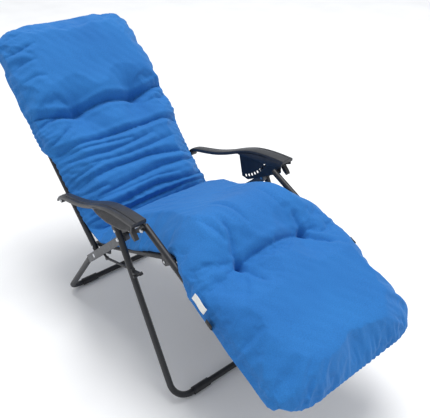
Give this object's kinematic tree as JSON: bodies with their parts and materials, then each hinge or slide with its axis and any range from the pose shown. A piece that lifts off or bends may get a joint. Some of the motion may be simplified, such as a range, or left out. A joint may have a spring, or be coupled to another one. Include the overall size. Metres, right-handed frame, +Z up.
{
  "type": "zero gravity recliner",
  "caption": "Folding zero gravity recliner: black tube frame, blue tufted full-length cushion, armrests linking back and leg rest, crossed U-shaped legs.",
  "frame": {"origin": "on the floor under the middle of the chair's bounding box", "axes": "+Z up, +X towards the feet, +Y to the sitter's left"},
  "size_m": [1.4979, 0.6316, 0.9471],
  "materials": {
    "powder_coated_steel": "satin black powder coat",
    "grey_arm_plastic": "dark grey powder coat",
    "black_plastic": "moulded black",
    "armrest_plastic": "moulded dark grey with a fine grain",
    "zinc_fasteners": "zinc plated",
    "cushion_cover": "royal blue polyester, tufted",
    "sling_fabric": "dark blue woven",
    "lacing_cord": "braided elastic",
    "webbing": "black webbing"
  },
  "bodies": {
    "seat": {"seat_rail_left": "powder_coated_steel", "seat_rail_right": "powder_coated_steel", "seat_rear_cross_tube": "powder_coated_steel", "seat_front_cross_tube": "powder_coated_steel", "seat_leg_brackets": "powder_coated_steel", "leg_pivot_bolts": "zinc_fasteners", "seat_sling": "sling_fabric", "seat_lacing": "lacing_cord", "seat_cushion": "cushion_cover"},
    "back_hinge": {"back_hinge_bolts": "zinc_fasteners"},
    "back": {"back_tube": "powder_coated_steel", "back_cross_tube": "powder_coated_steel", "back_sling": "sling_fabric", "back_lacing": "lacing_cord", "back_cushion": "cushion_cover"},
    "knee_hinge": {"knee_hinge_bolts": "zinc_fasteners"},
    "leg_rest": {"leg_rest_tube": "powder_coated_steel", "leg_rest_cross_tube": "powder_coated_steel", "knee_lugs": "powder_coated_steel", "leg_rest_sling": "sling_fabric", "leg_rest_lacing": "lacing_cord", "leg_rest_cushion": "cushion_cover", "leg_rest_strap": "webbing"},
    "rear_leg": {"rear_leg_tube": "powder_coated_steel", "rear_arm_left": "grey_arm_plastic", "rear_arm_right": "grey_arm_plastic", "leg_stop_rods": "powder_coated_steel", "cross_pivot_bolts": "zinc_fasteners", "rear_floor_sleeves": "black_plastic"},
    "front_leg": {"front_leg_tube": "powder_coated_steel", "front_leg_caps": "black_plastic", "lock_bolts": "zinc_fasteners", "transport_clips": "black_plastic", "front_floor_sleeves": "black_plastic"},
    "arm_pivot_left": {"armrest_bolt_left": "zinc_fasteners"},
    "arm_pivot_right": {"armrest_bolt_right": "zinc_fasteners"},
    "armrest_left": {"armrest_left": "armrest_plastic", "lock_plate_left": "powder_coated_steel", "armrest_front_bolt_left": "zinc_fasteners", "lock_lever_pin_left": "zinc_fasteners"},
    "armrest_right": {"armrest_right": "armrest_plastic", "lock_plate_right": "powder_coated_steel", "armrest_front_bolt_right": "zinc_fasteners", "lock_lever_pin_right": "zinc_fasteners"},
    "lock_lever_left": {"lock_lever_left": "black_plastic"},
    "lock_lever_right": {"lock_lever_right": "black_plastic"}
  },
  "joints": [
    {"name": "chair_fold", "type": "hinge", "parent": "seat", "child": "back_hinge", "pos_m": [-0.18085, 0, 0.312], "axis": [0, -1, 0], "range_deg": [-85, 0], "deforming": ["seat_cushion", "back_cushion", "leg_rest_cushion"]},
    {"name": "back_recline", "type": "hinge", "parent": "back_hinge", "child": "back", "pos_m": [-0.18085, 0, 0.312], "axis": [0, -1, 0], "range_deg": [-22, 18]},
    {"name": "knee_fold", "type": "hinge", "parent": "seat", "child": "knee_hinge", "pos_m": [0.24715, 0, 0.492], "axis": [0, -1, 0], "range_deg": [-90.5, 0]},
    {"name": "leg_rest_tilt", "type": "hinge", "parent": "knee_hinge", "child": "leg_rest", "pos_m": [0.24715, 0, 0.492], "axis": [0, -1, 0], "range_deg": [-35.21, 28.8]},
    {"name": "arm_fold_left", "type": "hinge", "parent": "back", "child": "arm_pivot_left", "pos_m": [-0.31567, 0.27, 0.44871], "axis": [0, -1, 0], "range_deg": [0, 85]},
    {"name": "arm_tilt_left", "type": "hinge", "parent": "arm_pivot_left", "child": "armrest_left", "pos_m": [-0.31567, 0.27, 0.44871], "axis": [0, -1, 0], "range_deg": [-18, 22]},
    {"name": "arm_fold_right", "type": "hinge", "parent": "back", "child": "arm_pivot_right", "pos_m": [-0.31567, -0.27, 0.44871], "axis": [0, -1, 0], "range_deg": [0, 85]},
    {"name": "arm_tilt_right", "type": "hinge", "parent": "arm_pivot_right", "child": "armrest_right", "pos_m": [-0.31567, -0.27, 0.44871], "axis": [0, -1, 0], "range_deg": [-18, 22]},
    {"name": "rear_leg_fold", "type": "hinge", "parent": "seat", "child": "rear_leg", "pos_m": [-0.13485, 0, 0.312], "axis": [0, -1, 0], "range_deg": [-26.01, 0]},
    {"name": "front_leg_fold", "type": "hinge", "parent": "rear_leg", "child": "front_leg", "pos_m": [0.07608, 0, 0.496], "axis": [0, -1, 0], "range_deg": [-64.5, 0]},
    {"name": "lever_left", "type": "hinge", "parent": "armrest_left", "child": "lock_lever_left", "pos_m": [0.14915, 0.3, 0.566], "axis": [0, -1, 0], "range_deg": [0, 15]},
    {"name": "lever_right", "type": "hinge", "parent": "armrest_right", "child": "lock_lever_right", "pos_m": [0.14915, -0.3, 0.566], "axis": [0, -1, 0], "range_deg": [0, 15]}
  ],
  "couplings": [
    {"joint": "knee_fold", "follows": "chair_fold", "ratio": 1.0647},
    {"joint": "leg_rest_tilt", "follows": "back_recline", "ratio": 1.6},
    {"joint": "arm_fold_left", "follows": "chair_fold", "ratio": -1},
    {"joint": "arm_tilt_left", "follows": "back_recline", "ratio": -1},
    {"joint": "arm_fold_right", "follows": "chair_fold", "ratio": -1},
    {"joint": "arm_tilt_right", "follows": "back_recline", "ratio": -1},
    {"joint": "rear_leg_fold", "follows": "chair_fold", "ratio": 0.3059},
    {"joint": "front_leg_fold", "follows": "chair_fold", "ratio": 0.7588}
  ]
}
